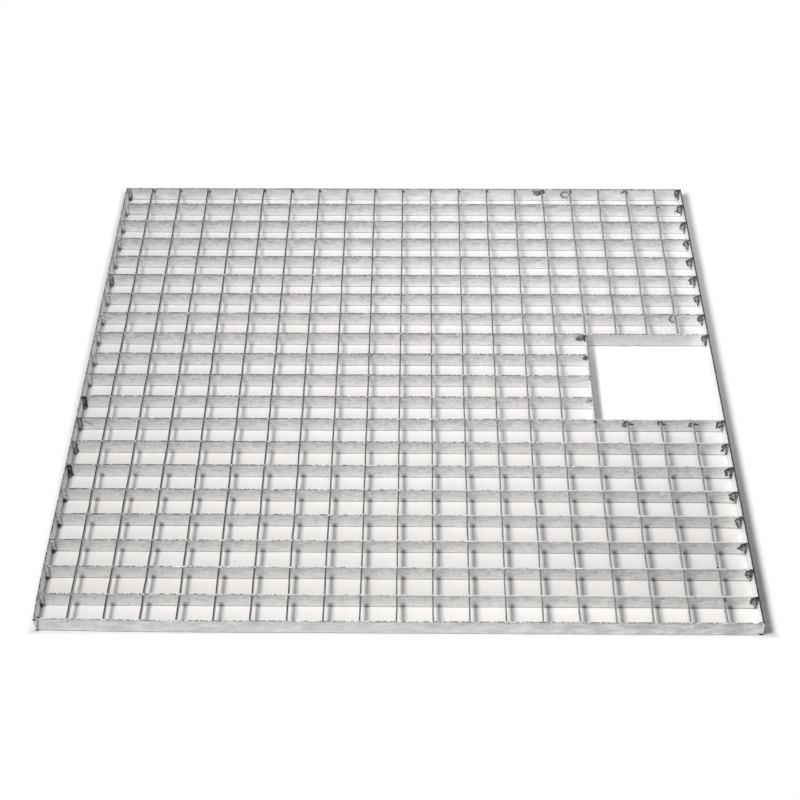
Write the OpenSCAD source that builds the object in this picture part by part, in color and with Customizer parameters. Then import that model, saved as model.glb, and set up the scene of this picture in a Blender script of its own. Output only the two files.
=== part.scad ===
// Pressed steel grating panel with a bound cut-out at one edge.
// Full-depth bearing bars run along X. Shallow cross bars run along Y and are pressed into the tops
// of the bearing bars. Flat bar binds the outside and the inner side of the cut-out.
// Origin: centre of the underside. The panel lies flat, with +Z up. Lengths are in millimetres.

/* [Panel] */
// Length of the panel, along its bearing bars
panel_l = 997; // [800:1:1100]
// Width of the panel, along its cross bars
panel_w = 995; // [800:1:1100]

/* [Bearing bars] */
// Spacing of the bearing bars, centre to centre
bearing_pitch = 50; // [45:1:60]
// Depth of a bearing bar, which is also the depth of the panel
bearing_h = 25; // [20:1:40]
// Thickness of a bearing bar
bearing_t = 2; // [1.5:0.5:4]

/* [Cross bars] */
// Spacing of the cross bars, centre to centre
cross_pitch = 50; // [45:1:60]
// Depth of a cross bar
cross_h = 10; // [8:1:14]
// Thickness of a cross bar
cross_t = 2; // [1.5:0.5:4]
// How far the tops of the cross bars lie below the tops of the bearing bars
cross_sink = 0.5; // [0.2:0.1:1.5]
// How far the middle cross bar lies from the middle of the panel, since the end cells were cut to
// fit and the right one is wider
cross_shift = -1; // [-10:0.5:10]

/* [Binding] */
// Thickness of the flat bar round the panel
band_t = 2; // [1.5:0.5:4]
// Thickness of the flat bar that closes the cut bearing bars
cutout_band_t = 2; // [1.5:0.5:4]

/* [Cut-out] */
// Mesh cells that the cut-out takes in from the right edge
cutout_cells_l = 4; // [2:1:8]
// Mesh cells that the cut-out takes out from front to back
cutout_cells_w = 4; // [2:1:5]
// Number of the bearing bar at the front of the cut-out, counted from the front
cutout_front_bar = 8; // [2:1:8]

/* [Welds] */
// Leg of a fillet between a bearing bar and the binding
weld_leg = 6; // [3:0.5:8]
// How far such a fillet stops short of the top and the underside of the panel
weld_end_gap = 2; // [1:0.5:5]
// Leg of a small weld at the end of a cross bar
tack_leg = 3; // [1.5:0.5:5]
// How far a small weld stops short of the top and the underside of its cross bar
tack_end_gap = 1; // [0.5:0.5:2]

/* [Hidden] */

// The inner faces of the binding, from the centre of the panel
inside_x = panel_l / 2 - band_t;
inside_y = panel_w / 2 - band_t;

// As many bars as full pitches fit between the bands. The bearing bars are centred, and the cross
// bars lie off the middle by their shift.
bearing_count = floor(2 * inside_y / bearing_pitch);
cross_count = floor(2 * inside_x / cross_pitch);

// Centre line of a bar by its number, counted from the front or from the left
function bearing_y(j) = (j - (bearing_count + 1) / 2) * bearing_pitch;
function cross_x(i) = cross_shift + (i - (cross_count + 1) / 2) * cross_pitch;

// The cut-out: the bearing bars in front of it and behind it, and the cross bar line that it
// reaches. Its band replaces that stretch of cross bar, on the line's cut-out side.
cutout_back_bar = cutout_front_bar + cutout_cells_w;
cutout_line = cross_count + 1 - cutout_cells_l;
cutout_front_y = bearing_y(cutout_front_bar) + bearing_t / 2;
cutout_back_y = bearing_y(cutout_back_bar) - bearing_t / 2;
cutout_band_x = cross_x(cutout_line);

// Heights
cross_top = bearing_h - cross_sink;
weld_h = bearing_h - 2 * weld_end_gap;
tack_h = cross_h - 2 * tack_end_gap;
tack_z = cross_top - cross_h + tack_end_gap;

// The ends of a weld bead taper off over the smaller of these shares
taper_share_of_leg = 0.5;
taper_share_of_height = 0.3;

fine = 32;
bar_colour = [0.80, 0.81, 0.81];
band_colour = [0.76, 0.77, 0.77];
weld_colour = [0.50, 0.51, 0.52];

function is_cut_bearing(j) = j > cutout_front_bar && j < cutout_back_bar;

// A flat bar on edge that fills the given stretches of X, Y and Z
module flat_bar(x, y, z) {
    translate([x[0], y[0], z[0]])
        cube([x[1] - x[0], y[1] - y[0], z[1] - z[0]]);
}

// A field of mesh: bearing bars from one number to another and from the left band to end_x, and
// cross bars from the first to the last number over a stretch of Y, all fused where they cross
module mesh_field(bearing_numbers, end_x, cross_last, y) {
    color(bar_colour) {
        for (j = bearing_numbers)
            flat_bar([-inside_x, end_x],
                     [bearing_y(j) - bearing_t / 2, bearing_y(j) + bearing_t / 2],
                     [0, bearing_h]);
        for (i = [1:cross_last])
            flat_bar([cross_x(i) - cross_t / 2, cross_x(i) + cross_t / 2],
                     y,
                     [cross_top - cross_h, cross_top]);
    }
}

// The mesh in front of the cut-out, beside it and behind it. The cross bars run through all three
// fields, and those that the cut-out takes out end in the faces of the bearing bars beside it.
module front_mesh() {
    mesh_field([1:cutout_front_bar], inside_x, cross_count, [-inside_y, cutout_front_y]);
}

module middle_mesh() {
    mesh_field([cutout_front_bar + 1:cutout_back_bar - 1], cutout_band_x, cutout_line - 1,
               [cutout_front_y, cutout_back_y]);
}

module back_mesh() {
    mesh_field([cutout_back_bar:bearing_count], inside_x, cross_count,
               [cutout_back_y, inside_y]);
}

// The side bands run the whole width of the panel, and the front and back bands lie between them
module front_band() {
    color(band_colour)
        flat_bar([-inside_x, inside_x], [-panel_w / 2, -inside_y], [0, bearing_h]);
}

module back_band() {
    color(band_colour)
        flat_bar([-inside_x, inside_x], [inside_y, panel_w / 2], [0, bearing_h]);
}

module left_band() {
    color(band_colour)
        flat_bar([-panel_l / 2, -inside_x], [-panel_w / 2, panel_w / 2], [0, bearing_h]);
}

module right_band() {
    color(band_colour)
        flat_bar([inside_x, panel_l / 2], [-panel_w / 2, panel_w / 2], [0, bearing_h]);
}

module cutout_band() {
    color(band_colour)
        flat_bar([cutout_band_x, cutout_band_x + cutout_band_t],
                 [cutout_front_y, cutout_back_y], [0, bearing_h]);
}

// A convex fillet with tapered ends, in the corner at the given place, which opens towards the
// signs of side
module bead(place, side, leg, height) {
    turn = side[0] > 0 ? (side[1] > 0 ? 0 : 270) : (side[1] > 0 ? 90 : 180);
    taper = min(taper_share_of_leg * leg, taper_share_of_height * height);
    translate(place)
        rotate([0, 0, turn])
            rotate_extrude(angle = 90, $fn = fine)
                polygon([[0, 0], [leg - taper, 0], [leg, taper],
                         [leg, height - taper], [leg - taper, height], [0, height]]);
}

// Fillet on a bearing bar or band whose face lies at y, against a band whose face lies at x
module side_weld(x, y, side) {
    bead([x, y, weld_end_gap], side, weld_leg, weld_h);
}

// Small weld beside a cross bar, against a bar or band whose face lies at y
module tack(i, y, side_y) {
    bead([cross_x(i) + cross_t / 2, y, tack_z], [1, side_y], tack_leg, tack_h);
}

// The fillets along one side band: one on the front face of each bearing bar and of the back band,
// and one on the back face of the front band
module edge_welds(x, side_x, bars) {
    for (j = bars)
        side_weld(x, bearing_y(j) - bearing_t / 2, [side_x, -1]);
    side_weld(x, inside_y, [side_x, -1]);
    side_weld(x, -inside_y, [side_x, 1]);
}

module left_welds() {
    color(weld_colour)
        edge_welds(-inside_x, 1, [for (j = [1:bearing_count]) j]);
}

module right_welds() {
    color(weld_colour)
        edge_welds(inside_x, -1, [for (j = [1:bearing_count]) if (!is_cut_bearing(j)) j]);
}

module front_welds() {
    color(weld_colour)
        for (i = [1:cross_count])
            tack(i, -inside_y, 1);
}

module back_welds() {
    color(weld_colour)
        for (i = [1:cross_count])
            tack(i, inside_y, -1);
}

// The cut-out's band is welded to the short bearing bars and at both its ends, all on its mesh
// side, and the cross bars that stop at the cut-out are welded to the bars beside it
module cutout_welds() {
    color(weld_colour) {
        for (j = [cutout_front_bar + 1:cutout_back_bar - 1])
            side_weld(cutout_band_x, bearing_y(j) - bearing_t / 2, [-1, -1]);
        side_weld(cutout_band_x, cutout_front_y, [-1, 1]);
        side_weld(cutout_band_x, cutout_back_y, [-1, -1]);
        for (i = [cutout_line + 1:cross_count]) {
            tack(i, cutout_front_y - bearing_t, -1);
            tack(i, cutout_back_y + bearing_t, 1);
        }
    }
}

front_mesh();
middle_mesh();
back_mesh();
front_band();
back_band();
left_band();
right_band();
cutout_band();
front_welds();
back_welds();
left_welds();
right_welds();
cutout_welds();
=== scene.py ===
"""Looks of a pressed steel grating panel, dipped in zinc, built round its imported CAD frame.

Lengths are in metres, in the frame of the CAD model: +X along the bearing bars, +Y along the
cross bars towards the back, +Z up, with the origin at the centre of the panel's underside.

Every piece of the panel is made of tubes: rings of points, one behind the other. A flat bar is an
oblong section carried along a line, a weld lump is a rough ball, and a run of zinc is a thin round
tube. Each piece draws its chances from seeds of its own, so that a change to one leaves the others
as they are: from 101 for bearing bars, 202 for cross bars, 300 for bands, 401 for welds and 501 for
the caps of zinc on the crossings and the burnt flecks.
"""

import math

import bpy
import numpy as np
from mathutils import Matrix, Vector


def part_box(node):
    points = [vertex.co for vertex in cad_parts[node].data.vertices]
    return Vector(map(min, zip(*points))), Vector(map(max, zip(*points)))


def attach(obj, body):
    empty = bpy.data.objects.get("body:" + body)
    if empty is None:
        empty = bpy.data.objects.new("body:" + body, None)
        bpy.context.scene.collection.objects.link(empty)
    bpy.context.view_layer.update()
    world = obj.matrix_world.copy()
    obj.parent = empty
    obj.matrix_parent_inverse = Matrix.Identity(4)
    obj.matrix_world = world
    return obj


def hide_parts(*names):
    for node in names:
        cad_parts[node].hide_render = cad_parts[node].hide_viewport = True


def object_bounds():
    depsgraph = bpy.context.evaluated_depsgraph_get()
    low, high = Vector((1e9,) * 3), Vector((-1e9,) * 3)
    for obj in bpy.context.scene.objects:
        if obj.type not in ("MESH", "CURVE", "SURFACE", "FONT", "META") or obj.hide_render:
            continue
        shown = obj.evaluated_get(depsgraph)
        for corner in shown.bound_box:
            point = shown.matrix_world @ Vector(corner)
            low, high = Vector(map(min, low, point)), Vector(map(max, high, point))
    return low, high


MM = 0.001

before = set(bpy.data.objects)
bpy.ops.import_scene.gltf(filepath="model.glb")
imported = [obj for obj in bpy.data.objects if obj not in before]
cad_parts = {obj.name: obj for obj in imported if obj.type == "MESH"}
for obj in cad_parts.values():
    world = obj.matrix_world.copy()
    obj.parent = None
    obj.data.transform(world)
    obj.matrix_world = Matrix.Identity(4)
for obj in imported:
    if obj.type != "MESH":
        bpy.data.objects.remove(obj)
cad_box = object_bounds()


# ---------------------------------------------------------------- places taken from the frame


def node_points(name):
    """The corner points of a CAD node, as rows of x, y, z."""
    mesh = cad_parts[name].data
    points = np.empty(len(mesh.vertices) * 3)
    mesh.vertices.foreach_get("co", points)
    return points.reshape(-1, 3)


def bar_middles(points, axis, level):
    """Middles of the upright bars whose lower edges lie at a level.

    The lower edges give two places to each bar, one for each face, and their mean is its middle.
    """
    edges = points[np.abs(points[:, 2] - level) < 0.01 * MM]
    faces = np.unique(np.round(edges[:, axis], 5))
    return faces.reshape(-1, 2).mean(axis=1)


FIELDS = ("front_mesh", "middle_mesh", "back_mesh")
field_points = {name: node_points(name) for name in FIELDS}
LEVELS = np.unique(np.round(field_points["front_mesh"][:, 2], 5))
FLOOR, CROSS_LOW, CROSS_TOP, PANEL_TOP = LEVELS
BEARING_Y = {name: bar_middles(field_points[name], 1, FLOOR) for name in FIELDS}
CROSS_X = bar_middles(field_points["front_mesh"], 0, CROSS_LOW)
SHORT_CROSS_X = bar_middles(field_points["middle_mesh"], 0, CROSS_LOW)

(LEFT, FRONT, _), (RIGHT, _, _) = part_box("front_mesh")
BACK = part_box("back_mesh")[1][1]
CUTOUT_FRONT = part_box("front_mesh")[1][1]
CUTOUT_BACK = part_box("back_mesh")[0][1]
CUTOUT_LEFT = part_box("middle_mesh")[1][0]
CUTOUT_BAND_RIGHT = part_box("cutout_band")[1][0]
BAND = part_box("front_band")[1][1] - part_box("front_band")[0][1]
FIRST_BEARING = BEARING_Y["front_mesh"][:1]
BEARING = 2 * float(np.abs(field_points["front_mesh"][:, 1] - FIRST_BEARING).min())
CROSS = 2 * float(np.abs(field_points["front_mesh"][:, 0] - CROSS_X[0]).min())


# ---------------------------------------------------------------- camera

CAMERA_LENS = 73.83
CAMERA_TILT = math.radians(43.264)
CAMERA_YAW = math.radians(-0.7745)
CAMERA_ROLL = math.radians(-0.3185)
CAMERA_DISTANCE = 2.5477
CAMERA_AIM = (-0.0004, -0.0579)


def make_camera():
    """The camera stands in front of the panel at eye height and looks down on it.

    Its axis meets the tops of the bars at CAMERA_AIM. It is tilted down from the level by
    CAMERA_TILT, turned about the vertical by CAMERA_YAW and about its own axis by CAMERA_ROLL.
    """
    data = bpy.data.cameras.new("camera")
    data.lens = CAMERA_LENS
    data.sensor_width = 36.0
    camera = bpy.data.objects.new("camera", data)
    bpy.context.scene.collection.objects.link(camera)
    turn = (
        Matrix.Rotation(-CAMERA_YAW, 4, "Z")
        @ Matrix.Rotation(math.pi / 2 - CAMERA_TILT, 4, "X")
        @ Matrix.Rotation(CAMERA_ROLL, 4, "Z")
    )
    aim = Vector((CAMERA_AIM[0], CAMERA_AIM[1], PANEL_TOP))
    backwards = turn @ Vector((0, 0, 1))
    camera.matrix_world = Matrix.Translation(aim + CAMERA_DISTANCE * backwards) @ turn
    bpy.context.scene.camera = camera


# ---------------------------------------------------------------- light

# Each lamp: its middle, the point it faces, its two sides, how wide its slats let the light spread
# in degrees, its power in watts and its colour
LAMPS = {
    "key_lamp": ((-0.82, -0.87, 1.95), (1.4, -0.2, 0), (0.7, 0.7), 140, 28.9, (1, 0.972, 0.942)),
    "back_lamp": ((0.2, -0.3, 2.0), (0.4, 1.5, 0), (1.0, 1.0), 90, 7.4, (1, 0.975, 0.99)),
}
SKY = 0.085


def make_light():
    """A soft key lamp up on the left, one overhead for the back rows, and a faint even sky.

    The camera and mirror-like surfaces see the sky white.
    """
    for name, (place, aim, sides, spread, power, colour) in LAMPS.items():
        data = bpy.data.lights.new(name, "AREA")
        data.shape = "RECTANGLE"
        data.size, data.size_y = sides
        data.spread = math.radians(spread)
        data.energy = power
        data.color = colour
        lamp = bpy.data.objects.new(name, data)
        bpy.context.scene.collection.objects.link(lamp)
        lamp.location = place
        way = Vector(aim) - lamp.location
        lamp.rotation_euler = way.to_track_quat("-Z", "Y").to_euler()

    world = bpy.data.worlds.new("studio")
    bpy.context.scene.world = world
    recipe = Recipe(world)
    strength = SKY + recipe.seen_directly() * (1 - SKY)
    recipe.feed(recipe.nodes["Background"], {"Color": (1, 1, 1, 1), "Strength": strength})


# ---------------------------------------------------------------- material workbench


class Value:
    """A number, colour or vector on its way through a material, ready for plain sums."""

    def __init__(self, recipe, socket):
        self.recipe = recipe
        self.socket = socket

    def maths(self, operation, first, second, clamp=False):
        """One sum of two numbers, as a Math node."""
        settings = {"operation": operation, "use_clamp": clamp}
        return self.recipe.add("ShaderNodeMath", settings, {0: first, 1: second})

    def __add__(self, other):
        return self.maths("ADD", self, other)

    __radd__ = __add__

    def __sub__(self, other):
        return self.maths("SUBTRACT", self, other)

    def __rsub__(self, other):
        return self.maths("SUBTRACT", other, self)

    def __mul__(self, other):
        return self.maths("MULTIPLY", self, other)

    __rmul__ = __mul__

    def clamp(self):
        """The same number, kept between 0 and 1."""
        return self.maths("ADD", self, 0.0, clamp=True)

    def smooth(self, low, high):
        """0 up to low, 1 from high on, and a smooth step between; high may be the lower one."""
        sockets = {"Value": self, "From Min": low, "From Max": high}
        return self.recipe.add("ShaderNodeMapRange", {"interpolation_type": "SMOOTHSTEP"}, sockets)


class Recipe:
    """The nodes of a material or a world, and a method that adds any node."""

    def __init__(self, owner):
        owner.use_nodes = True
        self.owner = owner
        self.nodes = owner.node_tree.nodes
        self.links = owner.node_tree.links
        self.shader = self.nodes.get("Principled BSDF")

    def add(self, kind, settings=None, sockets=None, output=0):
        """Adds a node, with its settings first and then the values or links of its sockets."""
        node = self.nodes.new(kind)
        for name, value in (settings or {}).items():
            setattr(node, name, value)
        self.feed(node, sockets or {})
        return Value(self, node.outputs[output])

    def feed(self, node, sockets):
        """Links each socket to a Value, or sets it to a plain number or colour."""
        for name, value in sockets.items():
            if isinstance(value, Value):
                self.links.new(value.socket, node.inputs[name])
            else:
                node.inputs[name].default_value = value

    def place(self):
        """The point on the surface, in the frame of the CAD model."""
        return self.add("ShaderNodeTexCoord", output="Object")

    def axes(self):
        """The point's x, y and z."""
        parts = self.add("ShaderNodeSeparateXYZ", sockets={"Vector": self.place()}).socket.node
        return [Value(self, parts.outputs[i]) for i in range(3)]

    def seen_directly(self):
        """1 for rays from the camera, a mirror or clear glass, and 0 for those that give light."""
        rays = self.add("ShaderNodeLightPath").socket.node
        names = ("Is Camera Ray", "Is Glossy Ray", "Is Transmission Ray")
        camera, glossy, clear = (Value(self, rays.outputs[name]) for name in names)
        return (camera + glossy + clear).clamp()

    def noise(self, scale, detail=3.0, roughness=0.55, shift=0.0, tilt=0.0):
        """Noise with so many grains a metre along X, Y and Z, once leaned over about Y."""
        place = self.place()
        if tilt:
            turn = {"rotation_type": "Y_AXIS"}
            place = self.add("ShaderNodeVectorRotate", turn, {"Vector": place, "Angle": tilt})
        vector = self.add(
            "ShaderNodeMapping",
            {"vector_type": "POINT"},
            {"Vector": place, "Scale": scale, "Location": (shift, shift, shift)},
        )
        sockets = {"Vector": vector, "Scale": 1.0, "Detail": detail, "Roughness": roughness}
        return self.add("ShaderNodeTexNoise", None, sockets)

    def attribute(self, name):
        """A mark that a piece carries on its points."""
        return self.add("ShaderNodeAttribute", {"attribute_name": name}, output="Fac")

    def mix(self, factor, first, second):
        """The first colour where factor is 0 and the second where it is 1."""
        node = self.nodes.new("ShaderNodeMix")
        node.data_type = "RGBA"
        colours = [(*c, 1.0) if isinstance(c, tuple) else c for c in (first, second)]
        self.feed(node, {0: factor, 6: colours[0], 7: colours[1]})
        return Value(self, node.outputs[2])

    def finish(self, colour, roughness, metallic, height=None, bump=0.0):
        """Feeds the shader and returns the material; height is in metres."""
        self.feed(
            self.shader, {"Base Color": colour, "Roughness": roughness, "Metallic": metallic}
        )
        if height is not None:
            sockets = {"Height": height, "Strength": bump, "Distance": 0.5 * MM}
            self.feed(self.shader, {"Normal": self.add("ShaderNodeBump", None, sockets)})
        return self.owner


# ---------------------------------------------------------------- materials


def grey(level):
    """An even grey."""
    return (level, level, level)


BRIGHT_ZINC = grey(0.98)
PALE_ZINC = grey(0.90)
GREY_ZINC = (0.40, 0.402, 0.405)
DULL_ZINC = (0.13, 0.13, 0.133)
SOOT = (0.012, 0.012, 0.013)
ZINC_GLOSS = 0.4

# Where a mark begins and where it is full, as heights above the floor
RIM = (PANEL_TOP - 0.7 * MM, PANEL_TOP - 0.3 * MM)
BEARING_LIP = (PANEL_TOP - 4.5 * MM, PANEL_TOP - 0.9 * MM)
BAND_LIP = (PANEL_TOP - 3.0 * MM, PANEL_TOP - 0.9 * MM)
CROSS_SCALE = (CROSS_TOP - 1.2 * MM, CROSS_TOP - 0.4 * MM)
# The feet are painted dark, as contact shadow where bars and bands meet the floor.
BEARING_FOOT = (1.6 * MM, 0.7 * MM)
BAND_FOOT = (1.5 * MM, 0.6 * MM)
SHADED_FOOT = (2.2 * MM, 1.0 * MM)
BURNT_FOOT = (5 * MM, 2.5 * MM)

# A painted shadow beside each cross bar, low on the front bars' faces where its shadow meets the
# bar's foot: where its left and right edges begin and where it is full, to the right of the cross
# bar's middle, its height, and how far towards the front it starts. It lies as given at one x, and
# nearer its cross bar to the left of that, by the creep below for each metre.
SHADOW_LEFT_EDGE = (5.5 * MM, 11 * MM)
SHADOW_RIGHT_EDGE = (17 * MM, 11.5 * MM)
SHADOW_HEIGHT = (11 * MM, 1 * MM)
SHADOW_FORWARD = (-0.12, -0.2)
SHADOW_AS_GIVEN_AT = 0.45
SHADOW_CREEP = 6.5 * MM

SMEAR_TILT = math.radians(28)


def new_zinc(name):
    """The recipe of a new zinc finish."""
    return Recipe(bpy.data.materials.new(name))


def back_of_cutout(x, y):
    """1 on the bearing bar's face that closes the back of the cut-out, and 0 elsewhere."""
    face = x.smooth(CUTOUT_BAND_RIGHT, CUTOUT_BAND_RIGHT + 4 * MM)
    face *= y.smooth(CUTOUT_BACK - 2 * MM, CUTOUT_BACK - 1 * MM)
    face *= y.smooth(CUTOUT_BACK + 5 * MM, CUTOUT_BACK + 4 * MM)
    return face


def painted_shadow_by_cross_bars(x, y, z):
    """1 in the painted shadow low on the front bars' faces, right of each cross bar, and 0
    elsewhere.

    Its place is what is left of x, counted from a cross bar's middle, over whole pitches.
    """
    pitch = float(CROSS_X[1] - CROSS_X[0])
    beside = x.maths("MODULO", x - float(CROSS_X[0]) + pitch, pitch)
    beside += (SHADOW_AS_GIVEN_AT - x) * SHADOW_CREEP
    painted_shadow = beside.smooth(*SHADOW_LEFT_EDGE) * beside.smooth(*SHADOW_RIGHT_EDGE)
    painted_shadow *= z.smooth(*SHADOW_HEIGHT) * y.smooth(*SHADOW_FORWARD)
    return painted_shadow


def bearing_rim(recipe, x, y):
    """Dark scale on a bar's top edge, bright in dashes, with painted sheen towards the front right.
    """
    # Painted reflection: the dashes brighten towards the front right, where the edge mirrors a
    # lamp.
    painted_sheen = (x * 0.55 - y * 0.8).smooth(-0.10, 0.50)
    fleck = recipe.noise((230, 20, 20), 3.0, 0.75, 8.0)
    notch = recipe.noise((430, 20, 20), 2.0, 0.5, 2.0)
    bright = (fleck * 0.6 + notch * 0.4 + painted_sheen * 0.19 - 0.06).smooth(0.44, 0.58)
    return recipe.mix(bright, (0.10, 0.10, 0.102), grey(0.80))


def zinc_on_bearing_bar():
    """Dull zinc, streaked along the bar in its upper half, painted paler below, with a ragged rim.

    Painted light: the faces are darker higher up and towards the back, as painted shade, and paler
    low down, most at the back, as a painted reflection of the bright floor; they are pale by the
    right band, as painted light thrown from it. Under the rim a thin dark lip laps on to the face.
    The bars are duller at the front right. A painted contact shadow runs along every foot, deeper
    at the front right. The front bars carry a painted shadow beside each cross bar, and the face
    that closes the back of the cut-out is plainer and painted darker, as shade.
    """
    recipe = new_zinc("zinc_on_bearing_bar")
    x, y, z = recipe.axes()
    height = z * (1 / PANEL_TOP)
    streak = recipe.noise((42, 40, 380), 4.0, 0.65)
    patch = recipe.noise((85, 60, 120), 4.0, 0.65, 3.0)
    grain = recipe.noise((520, 520, 700), 2.0, 0.5, 7.0)
    upper = height.smooth(0.1, 0.9)
    # Painted reflection of the bright floor: paler low down, most at the back.
    painted_floor_reflection_low = height.smooth(0.45, 0.1) * y.smooth(-0.3, 0.1)
    painted_floor_reflection_back = height.smooth(0.9, 0.2) * y.smooth(0.05, 0.3)
    dull = x.smooth(0.1, 0.5) * y.smooth(0.2, -0.4)
    # Painted shade: the face closing the back of the cut-out is made darker; its mottle is plainer.
    behind_cutout = back_of_cutout(x, y)
    mottle = (
        (patch - 0.5) * (upper * 1.0 + 0.7)
        + (streak - 0.5) * (upper * 1.3 + 0.5)
        + (grain - 0.5) * 1.1
    )
    # The tone is painted darker higher up and towards the back, as painted shade.
    tone = (
        0.82
        - 0.22 * y
        - 0.12 * upper
        - 0.24 * dull
        - 0.14 * behind_cutout
        + painted_floor_reflection_low * 0.08
        + painted_floor_reflection_back * 0.15
        + mottle * (1 - behind_cutout * 0.6)
    )
    # Painted light: paler towards the right band, as light thrown from its lit face.
    painted_glow_by_right_band = x.smooth(RIGHT - 35 * MM, RIGHT - 4 * MM)
    coat = recipe.mix((tone + painted_glow_by_right_band * 0.6).clamp(), GREY_ZINC, PALE_ZINC)
    # Painted contact shadow along the foot, and a deeper one at the front right.
    coat = recipe.mix(z.smooth(*BEARING_FOOT) * 0.8, coat, DULL_ZINC)
    coat = recipe.mix(z.smooth(*SHADED_FOOT) * dull * 0.6, coat, SOOT)
    # Painted shadow beside each cross bar, where the cross bar's shadow meets the bar's foot.
    coat = recipe.mix(painted_shadow_by_cross_bars(x, y, z) * (0.3 + patch * 0.7), coat, SOOT)
    pits = grain.smooth(0.64, 0.72)
    coat = recipe.mix(pits * 0.6, coat, DULL_ZINC)
    dash = recipe.noise((280, 20, 20), 3.0, 0.7, 5.0)
    lip = z.smooth(*BEARING_LIP) * dash.smooth(0.62, 0.42)
    coat = recipe.mix(lip * (0.3 + y * 0.3), coat, DULL_ZINC)
    coat = recipe.mix(z.smooth(*RIM), coat, bearing_rim(recipe, x, y))
    return recipe.finish(coat, 0.36 + patch * 0.16, ZINC_GLOSS, streak + grain * 0.4, 0.25)


def zinc_on_cross_bar():
    """Dark scaly zinc on the top of a cross bar, worn paler to the right, and pale sides."""
    recipe = new_zinc("zinc_on_cross_bar")
    x, _, z = recipe.axes()
    patch = recipe.noise((90, 90, 160), 4.0, 0.6)
    grain = recipe.noise((420, 420, 420), 2.0, 0.5, 4.0)
    side = recipe.mix((patch * 0.8 + grain * 0.5 - 0.1).clamp(), GREY_ZINC, PALE_ZINC)
    worn = (grain * 1.6 - 0.88 + x.smooth(-0.45, 0.4) * 0.6).clamp()
    scale = recipe.mix(worn, (0.03, 0.03, 0.031), (0.42, 0.42, 0.425))
    coat = recipe.mix(z.smooth(*CROSS_SCALE), side, scale)
    return recipe.finish(coat, 0.42 + patch * 0.2, ZINC_GLOSS, grain, 0.2)


def zinc_on_band(name, scale, bare, face_low, lip_share):
    """Mottled zinc of a band, with slanting smears that grow to the right, where it is duller too.

    The rim is bare zinc with scale in dashes, which laps on to the face by lip_share. A dark line
    of painted contact shadow runs along the foot, and the front right corner is burnt there. The
    right band is painted bright, as light, down to its foot where it closes the cut-out, with no
    foot line.
    """
    recipe = new_zinc(name)
    x, y, z = recipe.axes()
    patch = recipe.noise((38, 38, 90), 4.0, 0.6, 2.0)
    streak = recipe.noise((26, 26, 380), 4.0, 0.6)
    smear = recipe.noise((14, 14, 110), 3.0, 0.6, 4.0, SMEAR_TILT)
    grain = recipe.noise((480, 480, 640), 2.0, 0.5, 6.0)
    rightwards = x.smooth(-0.1, 0.5) * y.smooth(0.1, -0.1)
    # Painted light: where the right band closes the cut-out its face is made bright to the foot.
    by_cutout = y.smooth(CUTOUT_FRONT, CUTOUT_FRONT + MM) * y.smooth(CUTOUT_BACK, CUTOUT_BACK - MM)
    by_cutout *= x.smooth(RIGHT - 4 * MM, RIGHT - 3 * MM)
    tone = (
        0.68
        - 0.22 * rightwards
        - z * 6.0
        + (patch - 0.5) * (rightwards * 0.6 + 1.6)
        + (streak - 0.5) * 0.8
        + (smear - 0.5) * (rightwards * 1.0 + 0.2)
        + (grain - 0.5) * 0.8
        + by_cutout
    )
    coat = recipe.mix(tone.clamp(), face_low, BRIGHT_ZINC)
    # Painted contact shadow along the foot, left out where the right band closes the cut-out.
    foot = z.smooth(*BAND_FOOT) * (1 - by_cutout)
    coat = recipe.mix(foot * 0.8, coat, DULL_ZINC)
    dash = recipe.noise((260, 260, 40), 3.0, 0.7, 5.0)
    lip = z.smooth(*BAND_LIP) * dash.smooth(0.62, 0.45)
    coat = recipe.mix(lip * lip_share, coat, scale)
    fleck = recipe.noise((200, 200, 40), 3.0, 0.7, 9.0)
    rim_colour = recipe.mix(fleck.smooth(0.42, 0.60), scale, bare)
    coat = recipe.mix(z.smooth(*RIM), coat, rim_colour)
    burnt_corner = x.smooth(RIGHT - 4 * MM, RIGHT - 1.5 * MM) * z.smooth(*BURNT_FOOT)
    coat = recipe.mix(burnt_corner * y.smooth(FRONT + 2 * MM, FRONT + 1 * MM), coat, SOOT)
    return recipe.finish(coat, 0.38 + patch * 0.16, ZINC_GLOSS, streak + grain * 0.4, 0.25)


def weld_crust():
    """Sooty weld metal: each lump has its own tone, dark round its foot and paler on its crown."""
    recipe = new_zinc("weld_crust")
    tone = recipe.attribute("tone")
    crown = recipe.attribute("crown")
    grain = recipe.noise((650, 650, 650), 3.0, 0.6)
    # Painted light: darker round each lump's foot as shade, paler on its crown as a highlight.
    pale = (tone * 0.75 + (crown - 0.5) * 0.35 + (grain - 0.5) * 0.7).clamp()
    coat = recipe.mix(pale, SOOT, PALE_ZINC)
    return recipe.finish(coat, 0.45, 0.4, grain, 0.5)


# ---------------------------------------------------------------- shapes

BAR_STEP = 3.0 * MM
EDGE_CUT = 0.3 * MM
FACE_DENT = 0.10 * MM
SHARP_FROM = math.radians(35)
LAST_RING = math.radians(84)
# A way that no strand runs in
STRAND_SIDE = (0.13, 1.0, 0.09)


def wander(rng, along, gap, lines=1):
    """Smooth random lines between -1 and 1, one row each.

    Chance heights stand at knots set a gap apart, and a half cosine wave joins each to the next.
    """
    steps = (along - along.min()) / gap
    before = steps.astype(int)
    heights = rng.uniform(-1, 1, (lines, before.max() + 2))
    share = (1 - np.cos(np.pi * (steps - before))) / 2
    return heights[:, before] * (1 - share) + heights[:, before + 1] * share


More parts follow.
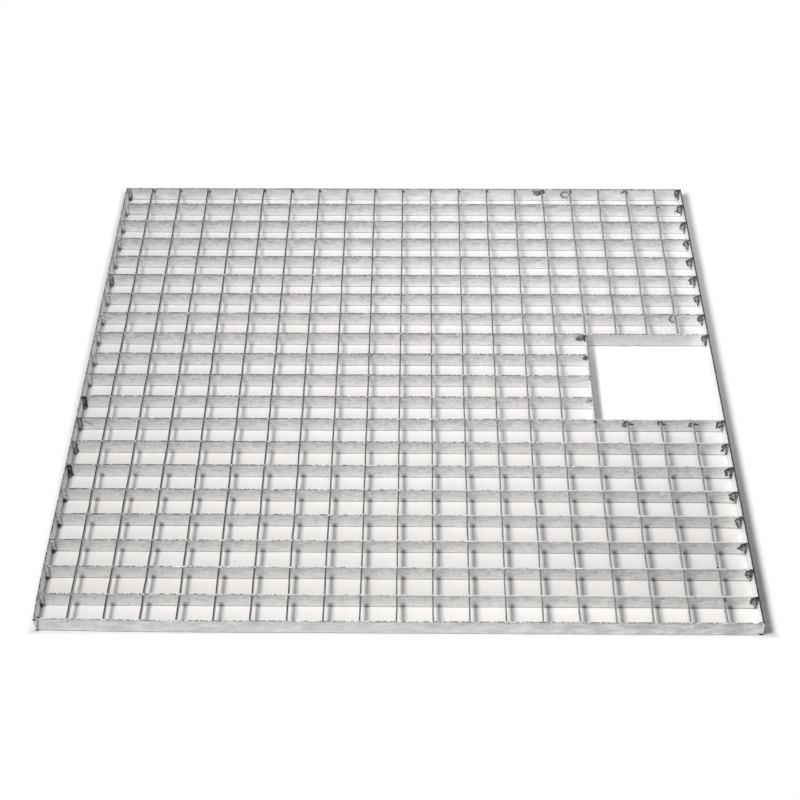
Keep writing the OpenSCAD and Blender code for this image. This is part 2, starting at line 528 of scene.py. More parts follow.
def flat_bar(rng, start, end, middle, thickness, low, high, bow, rag, bend=np.zeros_like):
    """A flat bar on edge along X, as one tube of fourteen-point rings.

    The section is an oblong with cut corners. Along the bar its middle wanders sideways by at
    most bow, on top of bend(place). Its upper edges fall back by ragged heights of at most
    rag(place) and its lower ones by a third of that. The lines of points on its faces sink in by at
    most FACE_DENT, so that the bar stays inside its plain outline.
    """
    along = np.linspace(start, end, int((end - start) / BAR_STEP) + 1)
    sway = bow * (0.8 * wander(rng, along, 26 * MM) + 0.2 * wander(rng, along, 7 * MM))[0]
    sway += bend(along)
    notches = np.clip(wander(rng, along, 4 * MM, 4), 0, 1) ** 2
    swells = 0.5 + 0.5 * wander(rng, along, 30 * MM, 4)
    edges = rag(along) * (0.75 * notches + 0.25 * swells)
    upper = high - edges[:2]
    lower = low + edges[2:] / 3
    shares = np.linspace(0, 1, 5)[:, None]
    dents = FACE_DENT * (0.5 + 0.5 * wander(rng, along, 14 * MM, 10))
    half = thickness / 2

    def face(side):
        """The five lines of points up one face: how far out each lies, and how high."""
        rise = (lower[side] + EDGE_CUT) * (1 - shares) + (upper[side] - EDGE_CUT) * shares
        return half - dents[5 * side:5 * side + 5], rise

    near_across, near_rise = face(0)
    far_across, far_rise = face(1)
    flat = np.full((1, len(along)), half - EDGE_CUT)
    across = np.concatenate([-near_across, -flat, flat, far_across[::-1], flat, -flat])
    rise = np.concatenate(
        [near_rise, upper[:1], upper[1:], far_rise[::-1], lower[1:], lower[:1]]
    )
    points = np.stack([np.broadcast_to(along, across.shape), middle + sway + across, rise], axis=-1)
    return points.transpose(1, 0, 2)[None]


def turned(points):
    """The same shape turned a quarter about Z, so that what lay along X lies along Y."""
    return np.stack([-points[..., 1], points[..., 0], points[..., 2]], axis=-1)


def lumps(rng, centres, reaches, leans, roughness=0.35, rings=7, corners=10):
    """Rough lumps, one tube each.

    A lump is a ball whose points are moved in and out by the mean of a few random waves over it,
    then stretched to its three reaches, leaned about Y and put at its centre. Its rings stop at
    LAST_RING above and below its middle, where flat faces close it.
    """
    rise = np.linspace(-1, 1, rings)[:, None] * LAST_RING
    turn = -2 * np.pi * np.arange(corners) / corners
    way = np.stack(
        [np.cos(rise) * np.cos(turn), np.cos(rise) * np.sin(turn), np.sin(rise) + 0 * turn], axis=-1
    )
    count = len(centres)
    waves = rng.normal(0, 2.4, (count, 5, 3))
    phases = rng.uniform(0, 2 * np.pi, (count, 1, 1, 5))
    bumps = np.cos(np.einsum("rcd,nwd->nrcw", way, waves) + phases).mean(axis=-1)
    local = way * (1 + roughness * bumps[..., None] * 2) * reaches[:, None, None]
    lean_x, lean_z = np.cos(leans)[:, None, None], np.sin(leans)[:, None, None]
    x = local[..., 0] * lean_x - local[..., 2] * lean_z
    z = local[..., 0] * lean_z + local[..., 2] * lean_x
    return np.stack([x, local[..., 1], z], axis=-1) + centres[:, None, None]


def bent_line(start, middle, end, count=14):
    """A line that leaves start towards middle and comes to end from it, as a parabola."""
    t = np.linspace(0, 1, count)[:, None]
    start, middle, end = (np.array(p) for p in (start, middle, end))
    return (1 - t) ** 2 * start + 2 * t * (1 - t) * middle + t ** 2 * end


def round_line(centre, across, up, sweep, count=16):
    """Part of an ellipse that stands in the XZ plane, from one angle to another."""
    angle = np.linspace(*sweep, count)
    still = np.zeros(count)
    return np.array(centre) + np.stack([across * np.cos(angle), still, up * np.sin(angle)], axis=-1)


def strand(line, thick, corners=6):
    """A thin run of metal: a circle carried along a line, thinner towards both ends.

    The circle lies square to the line: its first axis is square to the line and to STRAND_SIDE, and
    its second to the line and the first axis. Its radius swells from the ends by a half sine wave.
    """
    way = np.gradient(line, axis=0)
    way /= np.linalg.norm(way, axis=1, keepdims=True)
    first = np.cross(way, STRAND_SIDE)
    first /= np.linalg.norm(first, axis=1, keepdims=True)
    second = np.cross(way, first)
    share = np.linspace(0, 1, len(line))[:, None, None]
    radius = thick / 2 * (0.45 + 0.55 * np.sin(np.pi * share))
    turn = -2 * np.pi * np.arange(corners)[None, :, None] / corners
    ring = np.cos(turn) * first[:, None] + np.sin(turn) * second[:, None]
    return (line[:, None] + radius * ring)[None]


def tube_faces(rings, corners):
    """Corner numbers of a tube's faces: four-sided ones between rings, and one over each end."""
    here = np.arange(corners)
    onward = (here + 1) % corners
    start = (np.arange(rings - 1) * corners)[:, None]
    sides = np.stack(
        [start + here, start + corners + here, start + corners + onward, start + onward], axis=-1
    )
    ends = np.stack([here, (rings - 1) * corners + here[::-1]])
    return sides.reshape(-1, 4), ends


def make_piece(name, tubes, material, slot, nodes, **marks):
    """One piece of the panel, made of groups of tubes that stand for CAD nodes.

    A group is copies x rings x corners points. The faces of its first copy are numbered once and
    shifted for the others. A mark is an attribute, given as one array of values for each group.
    """
    face_corners, face_sizes, shift = [], [], 0
    for group in tubes:
        copies, rings, corners, _ = group.shape
        shifts = shift + (np.arange(copies) * rings * corners)[:, None, None]
        for faces in tube_faces(rings, corners):
            face_corners.append((faces + shifts).ravel())
            face_sizes.append(np.full(copies * len(faces), faces.shape[1]))
        shift += copies * rings * corners
    points = np.concatenate([group.reshape(-1, 3) for group in tubes])
    face_corners = np.concatenate(face_corners)
    face_sizes = np.concatenate(face_sizes)

    mesh = bpy.data.meshes.new(name)
    mesh.vertices.add(len(points))
    mesh.vertices.foreach_set("co", points.ravel())
    mesh.loops.add(len(face_corners))
    mesh.loops.foreach_set("vertex_index", face_corners)
    mesh.polygons.add(len(face_sizes))
    mesh.polygons.foreach_set("loop_start", np.cumsum(face_sizes) - face_sizes)
    mesh.update(calc_edges=True)
    mesh.shade_smooth()
    mesh.set_sharp_from_angle(angle=SHARP_FROM)
    for mark, values in marks.items():
        full = [np.broadcast_to(v, group.shape[:3]).ravel() for v, group in zip(values, tubes)]
        layer = mesh.attributes.new(mark, "FLOAT", "POINT")
        layer.data.foreach_set("value", np.concatenate(full))
    mesh.materials.append(material)
    piece = bpy.data.objects.new(name, mesh)
    bpy.context.scene.collection.objects.link(piece)
    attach(piece, "root")
    if nodes:
        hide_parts(*nodes)
    return piece


# ---------------------------------------------------------------- bars and bands

# How far a bar's middle wanders sideways, and how far its edges fall back
BEARING_BOW = 0.3 * MM
BEARING_RAG = 0.6 * MM
SAWN_RAG = 1.5 * MM
CROSS_BOW = 0.5 * MM
CROSS_RAG = 0.3 * MM
BAND_RAG = 0.5 * MM
# How far the left band starts behind the front band's face
LEFT_BAND_SETBACK = 1.5 * MM

# Each band's zinc: the scale on its rim, the bare rim, the darkest of its faces, and how strongly
# the scale laps on to them
# Painted light: the lit right and cut-out band faces, and the shaded left one, are paler.
BAND_ZINC = {
    "front_band": (grey(0.20), grey(0.92), grey(0.55), 0.5),
    "back_band": (grey(0.06), grey(0.50), grey(0.62), 0.5),
    "left_band": (grey(0.05), grey(0.50), grey(0.70), 0.5),
    "right_band": (SOOT, grey(0.06), grey(0.92), 1.0),
    "cutout_band": (grey(0.12), grey(0.50), grey(0.85), 0.5),
}


def cross_x(number):
    """The middle of a cross bar, numbered from 1 at the left, or of several."""
    return CROSS_X[number - 1]


def even(amount):
    """A function of place that gives the same amount everywhere."""
    return lambda place: amount


def sawn_by_cutout(x):
    """How ragged the bearing bar before the cut-out is: sawn rough all along the cut-out."""
    return np.where(x > CUTOUT_LEFT, SAWN_RAG, BEARING_RAG)


def bent_end(place, start, reach, most):
    """How far a knocked end is pushed aside: most at start, and nothing past reach from it.

    Between them it is most times the square of the share of reach that is left.
    """
    return most * np.clip(1 - np.abs(place - start) / reach, 0, 1) ** 2


def front_band_bend(x):
    """The front band's left end is pushed back, towards +Y."""
    return bent_end(x, cad_box[0][0], 250 * MM, 2.6 * MM)


def left_band_bend(y):
    """The left band's front end is pushed in, towards +X, which is -Y before the bar is turned."""
    return -bent_end(y, cad_box[0][1], 80 * MM, 2.4 * MM)


BENDS = {"front_band": front_band_bend, "left_band": left_band_bend}


def make_bearing_bars():
    """Bearing bars, numbered from the front. The one before the cut-out was sawn rough there."""
    material = zinc_on_bearing_bar()
    number = 0
    for node in FIELDS:
        right_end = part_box(node)[1][0]
        for y in BEARING_Y[node]:
            number += 1
            rng = np.random.default_rng(100 + number)
            by_cutout = number == len(BEARING_Y["front_mesh"])
            rag = sawn_by_cutout if by_cutout else even(BEARING_RAG)
            bar = flat_bar(
                rng, LEFT, right_end, y, BEARING, FLOOR, PANEL_TOP, BEARING_BOW, rag
            )
            make_piece(f"bearing_bar_{number:02d}", [bar], material, "bar_steel", [node])


def make_cross_bars():
    """Cross bars, numbered from the left. Those that meet the cut-out are in two lengths."""
    material = zinc_on_cross_bar()
    for number, x in enumerate(CROSS_X, start=1):
        whole = np.abs(SHORT_CROSS_X - x).min() < MM
        front_end = FRONT + front_band_bend(x)
        lengths = [("", front_end, BACK, FIELDS)] if whole else [
            ("_front", front_end, CUTOUT_FRONT - BEARING / 2, ["front_mesh"]),
            ("_back", CUTOUT_BACK + BEARING / 2, BACK, ["back_mesh"]),
        ]
        for end_name, start, end, nodes in lengths:
            rng = np.random.default_rng(200 + 2 * number + (end_name == "_back"))
            bar = flat_bar(
                rng, start, end, -x, CROSS, CROSS_LOW, CROSS_TOP, CROSS_BOW, even(CROSS_RAG)
            )
            name = f"cross_bar_{number:02d}{end_name}"
            make_piece(name, [turned(bar)], material, "bar_steel", nodes)


def make_bands():
    """The bands round the panel and beside the cut-out, which fill their CAD nodes' boxes.

    Only the knocked ends, and the left band's setback, leave a little of a box empty.
    """
    for number, (node, finish) in enumerate(BAND_ZINC.items()):
        rng = np.random.default_rng(300 + number)
        (x0, y0, z0), (x1, y1, z1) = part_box(node)
        rag = even(BAND_RAG)
        bend = BENDS.get(node, np.zeros_like)
        if x1 - x0 > y1 - y0:
            bar = flat_bar(rng, x0, x1, (y0 + y1) / 2, y1 - y0, z0, z1, 0, rag, bend)
        else:
            y0 += LEFT_BAND_SETBACK if node == "left_band" else 0
            bar = turned(flat_bar(rng, y0, y1, -(x0 + x1) / 2, x1 - x0, z0, z1, 0, rag, bend))
        material = zinc_on_band(f"zinc_on_{node}", *finish)
        make_piece(f"{node}_strip", [bar], material, "band_steel", [node])


# ---------------------------------------------------------------- welds

# A lump is a row: its centre, its three reaches, its lean about Y, its tone and the way it faces,
# -1 for the front of a bar and 1 for the back. Lengths are in millimetres from the weld's corner.
FACES_FRONT = -1
FACES_BACK = 1
TOWARDS_RIGHT = 1
TOWARDS_LEFT = -1
# How far inside the panel's outline weld metal stays: at its sides, its front and back, and below
# or above
CRUST_INSIDE_LOW = (0.5 * MM, 0.3 * MM, 0.2 * MM)
CRUST_INSIDE_HIGH = (0.5 * MM, 0.3 * MM, 0.05 * MM)
# Tones of the welds along the left band that are burnt black or sooty, by bearing bar
LEFT_WELD_TONES = {6: 0.02, 7: 0.3, 8: 0.3, 9: 0.02, 15: 0.3}
PLAIN_LEFT_TONE = 0.7
# The last bearing bar from the front whose weld on the left band has a black foot
LAST_BLACK_FOOT = 5
# Sizes of the tacks along the back band that are larger than the rest, by cross bar
BACK_TACKS = {1: 2.4, 3: 2.4, 5: 2.3, 6: 2.4, 15: 3.0, 16: 2.4, 18: 2.8}
PLAIN_TACK = 1.6
# Sizes of the welds where the cut cross bars end before the cut-out, and beside its band
CUT_END_WELDS = (1.8, 6.0, 4.6, 4.6)
CUTOUT_BAND_WELDS = (2.0, 2.0, 3.8)


def rows(*columns):
    """Lump rows from columns, each one value for all the lumps or one value for each of them."""
    return np.stack(np.broadcast_arrays(*columns), axis=-1).astype(float)


def placed(lump_rows, x, y):
    """The same lumps, in metres, with their corner at x, y on the floor."""
    moved = lump_rows.copy()
    moved[:, :6] *= MM
    moved[:, 0] += x
    moved[:, 1] += y
    return moved


def fan_weld(rng, side, reach, tone, face=FACES_FRONT):
    """A burnt, bell-like weld that hangs from the top of a band over a bar's face.

    Flat lumps fan out downwards from a point near the top of the corner, the steep ones the longer,
    each over a wider black one that shows round its edge. Black lumps link the fan to the top of
    the band, others fill the corner, and a few bright drops lie on it.
    """
    petals = 6
    steep = np.linspace(0, 1, petals)
    tilt = np.radians(-14 - 78 * steep + rng.uniform(-6, 6, petals))
    far = reach * rng.uniform(0.85, 1.15, petals) * (0.58 + 0.65 * steep)
    x = side * (1.5 + np.cos(tilt) * far / 2)
    z = 21.5 + np.sin(tilt) * far / 2
    lean = np.arctan2(np.sin(tilt), side * np.cos(tilt))
    burnt = rows(x, face * 0.3, z, far / 2 + 0.8, 0.9, rng.uniform(2.4, 3.2, petals), lean,
                 0.02, face)
    leaf = rows(x * 1.05, face * 1.1, z - 1, far * 0.36, 1.0, rng.uniform(1.1, 1.9, petals), lean,
                tone + rng.uniform(-0.25, 0.25, petals), face)
    link = rows(side * rng.uniform(-0.4, 3.0, 6), face * 0.8, (23.8, 23, 22, 20.5, 18, 13),
                rng.uniform(1.9, 2.7, 6), 2.2, rng.uniform(2.0, 2.8, 6), 0.0,
                rng.uniform(0, 0.05, 6), face)
    fillet = rows(side * 1.0, face * rng.uniform(1.6, 2.8, 6), (22.5, 20, 16.5, 13, 9.5, 6), 1.8,
                  rng.uniform(2.0, 2.8, 6), rng.uniform(1.6, 2.4, 6), 0.0,
                  rng.uniform(0, 0.4, 6), face)
    drops = rows(side * rng.uniform(2.0, 6.0, 3), face * 2.1, rng.uniform(6, 16, 3),
                 rng.uniform(0.8, 1.3, 3), 0.8, rng.uniform(0.9, 1.5, 3), rng.uniform(-1, 1, 3),
                 0.95, face)
    return np.concatenate([burnt, leaf, link, fillet, drops])


def slim_weld(rng, side, tone, foot_tone=0.0, face=FACES_FRONT):
    """An upright weld: a run as high as the bar, with a dark edge, pale beads and a black foot."""
    heights = np.linspace(3.5, 21.5, 6) + rng.uniform(-0.8, 0.8, 6)
    edge = rows(side * 3.0, face * 0.2, heights, 4.2, 0.6, 3.2, 0.0,
                tone + rng.uniform(-0.25, 0.1, 6), face)
    run = rows(side * 2.6, face * 0.6, heights, 3.3, 0.9, 3.2, 0.0,
               tone * 1.3 + rng.uniform(-0.25, 0.2, 6), face)
    beads = rows(side * rng.uniform(3.8, 4.8, 5), face * 1.5, heights[1:], rng.uniform(0.9, 1.4, 5),
                 1.0, rng.uniform(1.6, 2.6, 5), rng.uniform(-0.3, 0.3, 5),
                 tone * 1.5 + rng.uniform(-0.2, 0.2, 5), face)
    foot = rows(side * rng.uniform(0.4, 3.2, 4), face * np.array((1.0, 1.8, 2.6, 3.4)),
                rng.uniform(1.6, 3.4, 4), 2.3, 1.9, rng.uniform(1.8, 2.6, 4), 0.0, foot_tone, face)
    return np.concatenate([edge, run, beads, foot])


def tack(rng, side, size, tone, height=21.0, face=FACES_FRONT):
    """A small weld beside a bar's end, near the top of the face that it meets."""
    x = side * rng.uniform(0.2, 1.0, 3) * size
    z = height - rng.uniform(0, 1.3, 3) * size
    reach_x = rng.uniform(0.6, 1.0, 3) * size
    reach_z = rng.uniform(0.7, 1.1, 3) * size
    lean = rng.uniform(-0.6, 0.6, 3)
    return rows(x, face * 0.5, z, reach_x, 0.8, reach_z, lean,
                tone + rng.uniform(-0.15, 0.2, 3), face)


def make_crust(name, seed, lump_rows, nodes, strands=(), rings=7, corners=10):
    """One piece of weld metal: all its lumps, and any thin strands with their tones.

    The crown mark is 1 where a lump faces out from its bar and 0 round its foot. The lumps are
    flattened where they would pass the floor, the bars' tops or the bands' outer faces.
    """
    rng = np.random.default_rng(seed)
    bodies = lumps(rng, lump_rows[:, 0:3], lump_rows[:, 3:6], lump_rows[:, 6], 0.35, rings, corners)
    crown = (bodies[..., 1] - lump_rows[:, 1, None, None]) / lump_rows[:, 4, None, None]
    crown = np.clip(crown * lump_rows[:, 8, None, None], 0, 1)
    tubes = [bodies] + [tube for tube, _ in strands]
    tones = [lump_rows[:, 7, None, None]] + [np.array([[[t]]]) for _, t in strands]
    crowns = [crown] + [np.array([[[0.5]]]) for _ in strands]
    low = np.array(cad_box[0]) + CRUST_INSIDE_LOW
    high = np.array(cad_box[1]) - CRUST_INSIDE_HIGH
    tubes = [np.clip(tube, low, high) for tube in tubes]
    make_piece(name, tubes, CRUST, "weld_metal", nodes, tone=tones, crown=crowns)


def numbered_bearing_bars():
    """Every bearing bar's number, middle and right-hand end."""
    places = [(y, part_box(node)[1][0]) for node in FIELDS for y in BEARING_Y[node]]
    return [(number, y, end) for number, (y, end) in enumerate(places, start=1)]


def corner_weld(rng):
    """The weld down the front left corner: pale, narrower towards the floor, with burnt ends."""
    heights = np.linspace(3.5, 20.5, 7)
    width = np.linspace(1.3, 3.0, 7)
    bead = rows(0.4 + width * 0.8, -0.1, heights, width, 1.5, 2.4, 0.0, rng.uniform(0.85, 1.1, 7),
                FACES_FRONT)
    edge = rows(1.0 + width * 1.7, 0.0, heights + rng.uniform(-1, 1, 7), 0.7, 1.2, 1.5, 0.0,
                rng.uniform(0.0, 0.6, 7), FACES_FRONT)
    burnt = rows((1.2, 3.0, 1.8), (-0.4, -0.1, 0.2), (23.0, 23.4, 1.6), (1.9, 1.7, 2.2), 1.6,
                 (1.5, 1.3, 1.1), 0.0, 0.0, FACES_FRONT)
    return np.concatenate([bead, edge, burnt])


def make_left_welds():
    """Slim welds along the left band, some burnt black, one with a long hair of zinc.

    The front left corner has a weld on its outside too.
    """
    rng = np.random.default_rng(401)
    found = []
    for number, y, _ in numbered_bearing_bars():
        tone = LEFT_WELD_TONES.get(number, PLAIN_LEFT_TONE)
        foot_tone = 0.0 if number <= LAST_BLACK_FOOT else 0.25
        weld = slim_weld(rng, TOWARDS_RIGHT, tone, foot_tone)
        found.append(placed(weld, LEFT, y - BEARING / 2))
    found.append(placed(slim_weld(rng, TOWARDS_RIGHT, 0.5), LEFT, BACK))
    corner_x, corner_y = LEFT + 2.4 * MM, FRONT + front_band_bend(LEFT)
    behind = slim_weld(rng, TOWARDS_RIGHT, 0.4, face=FACES_BACK)
    found.append(placed(behind, corner_x, corner_y + 1 * MM))
    found.append(placed(corner_weld(rng), corner_x - BAND, corner_y - BAND))
    hair_y = BEARING_Y["front_mesh"][-1] - BEARING / 2 - 1.5 * MM
    hair = bent_line(
        (LEFT + 4 * MM, hair_y, 22 * MM),
        (LEFT + 15 * MM, hair_y, 20 * MM),
        (LEFT + 25 * MM, hair_y, 6 * MM),
    )
    make_crust("left_weld_crust", 411, np.concatenate(found), ["left_welds"],
               [(strand(hair, 1.1 * MM), 0.3)])


def make_right_welds():
    """Fan-shaped welds along the right band, and a hooked run of zinc on the last bar's."""
    rng = np.random.default_rng(402)
    found = []
    for number, y, end in numbered_bearing_bars():
        if end < RIGHT - MM:
            continue
        reach = rng.uniform(11.5, 14.5)
        found.append(placed(fan_weld(rng, TOWARDS_LEFT, reach, 0.3), RIGHT, y - BEARING / 2))
    found.append(placed(fan_weld(rng, TOWARDS_LEFT, 12, 0.2), RIGHT, BACK))
    found.append(placed(slim_weld(rng, TOWARDS_LEFT, 0.5, 0.3, FACES_BACK), RIGHT, FRONT))
    hook_y = BEARING_Y["back_mesh"][-1] - BEARING / 2 - 1.2 * MM
    hook = bent_line(
        (RIGHT - 4 * MM, hook_y, 18 * MM),
        (RIGHT - 14 * MM, hook_y, 16 * MM),
        (RIGHT - 13 * MM, hook_y, 5 * MM),
    )
    make_crust("right_weld_crust", 412, np.concatenate(found), ["right_welds"],
               [(strand(hook, 1.3 * MM), 0.5)])


def make_back_welds():
    """Tacks along the back band, most of them small, with a long run, two smears and a loop."""
    rng = np.random.default_rng(403)
    found = []
    for number, x in enumerate(CROSS_X, start=1):
        size = BACK_TACKS.get(number, PLAIN_TACK)
        found.append(placed(tack(rng, TOWARDS_RIGHT, size, 0.12), x + CROSS / 2, BACK))
    run = rows(rng.uniform(-1.5, 1.5, 6), -0.6, np.linspace(19, 6, 6), 1.5, 0.9, 2.2, 0.0,
               (0.15, 0.3, 0.5, 0.3, 0.15, 0.5), FACES_FRONT)
    found.append(placed(run, cross_x(3), BACK))
    smear = rows((-4, -8, -12, -15, -7, -11), -0.3, (19, 18, 20, 21.5, 13, 15.5), 4.2, 0.6,
                 (4.2, 4.0, 2.6, 1.6, 2.6, 2.2), -0.3, (0.14, 0.2, 0.26, 0.3, 0.3, 0.34),
                 FACES_FRONT)
    found.append(placed(smear, cross_x(15), BACK))
    small_smear = rows((-1.5, -4, -6.5), -0.3, (20.5, 19, 17.5), 1.9, 0.6, (1.8, 1.5, 1.2), 0.4,
                       (0.05, 0.15, 0.25), FACES_FRONT)
    found.append(placed(small_smear, cross_x(18), BACK))
    loop_y = BACK - 1.0 * MM
    loop = round_line(
        (cross_x(16) - 8 * MM, loop_y, 14 * MM), 7.2 * MM, 6.2 * MM, (0.1 * np.pi, 2.1 * np.pi)
    )
    make_crust("back_weld_crust", 413, np.concatenate(found), ["back_welds"],
               [(strand(loop, 2.1 * MM), 0.18)])


def make_front_welds():
    """Small tacks behind the front band."""
    rng = np.random.default_rng(404)
    found = []
    for x in CROSS_X:
        weld = tack(rng, TOWARDS_RIGHT, PLAIN_TACK, 0.25, face=FACES_BACK)
        found.append(placed(weld, x + CROSS / 2, FRONT))
    make_crust("front_weld_crust", 414, np.concatenate(found), ["front_welds"])


def make_cutout_welds():
    """Welds round the cut-out: on its band, with a whisker, and where the cut cross bars end."""
    rng = np.random.default_rng(405)
    before, after = BEARING_Y["front_mesh"][-1], BEARING_Y["back_mesh"][0]
    leaf = rows((-3.5, -6.5, -10, -13, -7, -10.5), -1.0, (20.5, 19.5, 17.5, 15, 15.5, 13),
                (3.6, 3.8, 3.4, 2.6, 3.2, 2.4), 1.2, (3.2, 3.6, 3.2, 2.2, 2.8, 2.0), 0.5,
                (0.05, 0.35, 0.15, 0.1, 0.0, 0.25), FACES_FRONT)
    spot = rows(-1.2, -1.6, (23, 20.5, 17, 13.5), 1.9, 1.4, (1.6, 2.2, 2.2, 2.2), 0.0, 0.0,
                FACES_FRONT)
    found = [placed(part, CUTOUT_LEFT, CUTOUT_BACK) for part in (leaf, spot)]
    for y, size in zip(BEARING_Y["middle_mesh"], CUTOUT_BAND_WELDS):
        heap = tack(rng, TOWARDS_LEFT, size, 0.12 if size > 3 else 0.4, height=20.0)
        found.append(placed(heap, CUTOUT_LEFT, y - BEARING / 2))
    for x, size in zip(CROSS_X[len(SHORT_CROSS_X):], CUT_END_WELDS):
        side = before - BEARING / 2
        found.append(placed(tack(rng, TOWARDS_LEFT, size, 0.08), x + CROSS / 2, side))
        if x > CUTOUT_BAND_RIGHT:
            dash = rows((5.0, 7.5), -0.8, (17.0, 16.2), 2.2, 0.7, 0.9, 0.1, 0.0, FACES_FRONT)
            found.append(placed(dash, x, side))
        back = tack(rng, TOWARDS_RIGHT, PLAIN_TACK, 0.25, face=FACES_BACK)
        found.append(placed(back, x + CROSS / 2, after + BEARING / 2))
    whisker_y = BEARING_Y["middle_mesh"][0] - BEARING / 2 - 1.5 * MM
    whisker = bent_line(
        (CUTOUT_LEFT, whisker_y, 20 * MM),
        (CUTOUT_LEFT - 6 * MM, whisker_y, 19 * MM),
        (CUTOUT_LEFT - 10 * MM, whisker_y, 15 * MM),
    )
    make_crust("cutout_weld_crust", 415, np.concatenate(found), ["cutout_welds"],
               [(strand(whisker, 1.6 * MM), 0.2)])


# ---------------------------------------------------------------- zinc left at the crossings

# Black flecks that stand out: bearing bar, cross bar, millimetres to its right, millimetres below
# the bar's top, and size in millimetres. Those within ON_CROSS_BAR of a cross bar's middle lie on
# top of it instead, that far in front of the bearing bar's face.
FLECKS = (
    (12, 8, 0.0, 4.0, 1.5), (11, 9, 4.0, 4.0, 1.4), (11, 11, -3.0, 0.8, 1.2),
    (13, 11, 1.0, 2.0, 0.9), (12, 10, 1.0, 3.0, 0.9), (9, 12, 0.0, 1.5, 1.2),
    (9, 8, 0.0, 1.5, 1.2), (7, 19, 1.0, 3.0, 1.4), (6, 19, 1.0, 2.0, 1.2),
    (4, 16, -1.0, 2.0, 1.4), (5, 18, 0.0, 2.0, 1.0), (8, 16, 1.0, 3.5, 2.2),
    (15, 5, 0.0, 2.0, 1.1), (1, 19, 1.0, 3.0, 2.0), (1, 19, 1.3, 6.5, 1.7),
    (2, 19, -1.3, -4.0, 1.5), (11, 15, 0.0, 2.5, 1.6), (1, 17, 0.0, 1.5, 1.0),
    (19, 3, 7.0, 0.8, 1.3), (2, 10, 25.0, 0.6, 0.8), (18, 6, 26.0, 9.0, 0.8),
    (18, 6, 30.0, 9.5, 0.9), (7, 1, 1.0, 2.0, 1.2), (13, 18, 24.0, 6.0, 0.9),
    (19, 19, 3.5, 4.0, 1.5), (19, 19, 7.0, 4.5, 1.2),
)
ON_CROSS_BAR = 1.6
FINE_FLECKS = 70


def make_crossing_zinc():
    """A little cap of bright zinc on each crossing."""
    rng = np.random.default_rng(501)
    grids = []
    for node, columns in zip(FIELDS, (CROSS_X, SHORT_CROSS_X, CROSS_X)):
        x, y = np.meshgrid(columns, BEARING_Y[node])
        grids.append(np.stack([x.ravel(), y.ravel()], axis=-1))
    places = np.concatenate(grids)
    count = len(places)
    caps = rows(
        places[:, 0] + rng.uniform(-0.4, 0.4, count) * MM, places[:, 1], CROSS_TOP,
        rng.uniform(1.1, 1.9, count) * MM, rng.uniform(1.2, 1.8, count) * MM,
        rng.uniform(0.3, 0.55, count) * MM, 0.0, rng.uniform(0.8, 1.1, count), FACES_FRONT,
    )
    make_crust("crossing_zinc", 511, caps, [], rings=5, corners=8)


def make_flecks():
    """Black flecks of burnt zinc on the bars, fine ones strewn by chance, and a curled shaving."""
    rng = np.random.default_rng(502)
    bearing = np.array([y for _, y, _ in numbered_bearing_bars()])
    ends = np.array([end for _, _, end in numbered_bearing_bars()])
    marked = np.array(FLECKS)
    chance = rng.integers(0, len(bearing), FINE_FLECKS)
    bar = np.concatenate([marked[:, 0].astype(int) - 1, chance])
    along = np.concatenate([
        cross_x(marked[:, 1].astype(int)) + marked[:, 2] * MM,
        rng.uniform(0.02, 0.98, FINE_FLECKS) * (ends[chance] - LEFT) + LEFT,
    ])
    below = np.concatenate([marked[:, 3], rng.uniform(1, 22, FINE_FLECKS)]) * MM
    size = np.concatenate([marked[:, 4], rng.uniform(0.35, 0.7, FINE_FLECKS)]) * MM
    on_cross = np.zeros(len(bar), bool)
    on_cross[:len(marked)] = np.abs(marked[:, 2]) < ON_CROSS_BAR
    forward = np.where(on_cross, below, 0.2 * size)
    height = np.where(on_cross, CROSS_TOP, PANEL_TOP - below)
    flecks = rows(along, bearing[bar] - BEARING / 2 - forward, height, size, 0.7 * size,
                  0.9 * size, 0.0, 0.0, FACES_FRONT)
    curl_x, curl_y = CROSS_X[-1], BEARING_Y["back_mesh"][1] - BEARING / 2 - 0.8 * MM
    curl = bent_line(
        (curl_x - 4 * MM, curl_y, 24 * MM),
        (curl_x - 14 * MM, curl_y, 9 * MM),
        (curl_x + 3 * MM, curl_y, 9 * MM),
    )
    make_crust("burnt_flecks", 512, flecks, [], [(strand(curl, 1.7 * MM), 0.05)],
               rings=5, corners=8)


# ---------------------------------------------------------------- floor

FLOOR_PAPER = (0.79, 0.785, 0.783)
# The paper is painted paler along the panel's front edge, most at the right, as painted light.
# Behind the edge this fades in from the first distance to the second.
PAINTED_LIGHT_PAPER = (0.93, 0.925, 0.922)
PAINTED_LIGHT_STRIP = (75 * MM, 40 * MM)
FLOOR_REACH = 6.0
# Where the floor turns white beside each side of the panel and in the cut-out: from and to, out
# from the panel's edge or from the cut-out's band
WHITE_LEFT = (5 * MM, 18 * MM)
WHITE_RIGHT = (14 * MM, 26 * MM)
WHITE_FRONT = (0 * MM, 6 * MM)
WHITE_BACK = (18 * MM, 27 * MM)
WHITE_IN_CUTOUT = (12 * MM, 18 * MM)
WHITE_BY_BARS = (0, 3 * MM)
WHITE_BY_RIGHT_BAND = (0, 1 * MM)
# How the white's edge beside the left band leans, and bows, along Y
LEFT_LEAN, LEFT_BOW = 0.006, 0.012


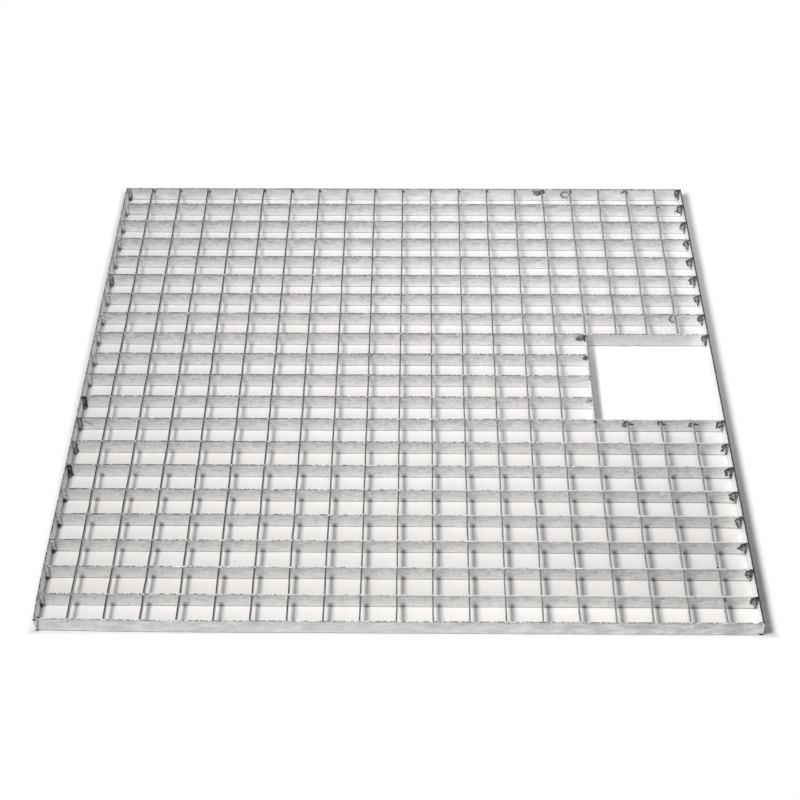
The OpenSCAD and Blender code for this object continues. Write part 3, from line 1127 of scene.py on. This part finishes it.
def make_floor():
    """A plain pale floor, which turns to bare white where the panel's shade ends.

    The white is only what the camera and mirror-like surfaces see, and lights nothing. The floor's
    own paper is painted a little paler along the panel's front, as painted light.
    """
    corner = FLOOR_REACH
    mesh = bpy.data.meshes.new("floor")
    mesh.from_pydata(
        [(-corner, -corner, 0), (corner, -corner, 0), (corner, corner, 0), (-corner, corner, 0)],
        [],
        [(0, 1, 2, 3)],
    )
    floor = bpy.data.objects.new("floor", mesh)
    bpy.context.scene.collection.objects.link(floor)
    recipe = Recipe(bpy.data.materials.new("floor_paper"))
    x, y, _ = recipe.axes()
    (left, front, _), (right, back, _) = cad_box
    white = (left - x - y * LEFT_LEAN + y * y * LEFT_BOW).smooth(*WHITE_LEFT)
    for part in (
        (x - right).smooth(*WHITE_RIGHT),
        (front - y).smooth(*WHITE_FRONT),
        (y - back).smooth(*WHITE_BACK),
        (x - CUTOUT_BAND_RIGHT).smooth(*WHITE_IN_CUTOUT)
        * (RIGHT - x).smooth(*WHITE_BY_RIGHT_BAND)
        * (y - CUTOUT_FRONT).smooth(*WHITE_BY_BARS)
        * (CUTOUT_BACK - y).smooth(*WHITE_BY_BARS),
    ):
        white = white.maths("MAXIMUM", white, part)
    glow = recipe.add("ShaderNodeEmission", None, {"Color": (1, 1, 1, 1), "Strength": 1.0})
    # Painted light: the paper is paler along the panel's front, most at the right.
    painted_light = (y - front).smooth(*PAINTED_LIGHT_STRIP) * (x.smooth(-0.2, 0.5) * 0.65 + 0.35)
    paper = recipe.mix(painted_light, FLOOR_PAPER, PAINTED_LIGHT_PAPER)
    recipe.feed(recipe.shader, {"Base Color": paper, "Roughness": 0.9})
    blend = recipe.add(
        "ShaderNodeMixShader",
        None,
        {0: white * recipe.seen_directly(), 1: Value(recipe, recipe.shader.outputs[0]), 2: glow},
    )
    recipe.links.new(blend.socket, recipe.nodes["Material Output"].inputs["Surface"])
    mesh.materials.append(recipe.owner)


# ---------------------------------------------------------------- all together

CRUST = weld_crust()

make_camera()
make_light()
make_floor()
make_bearing_bars()
make_cross_bars()
make_bands()
make_left_welds()
make_right_welds()
make_back_welds()
make_front_welds()
make_cutout_welds()
make_crossing_zinc()
make_flecks()

bpy.context.scene.view_settings.view_transform = "Standard"
bpy.context.view_layer.update()
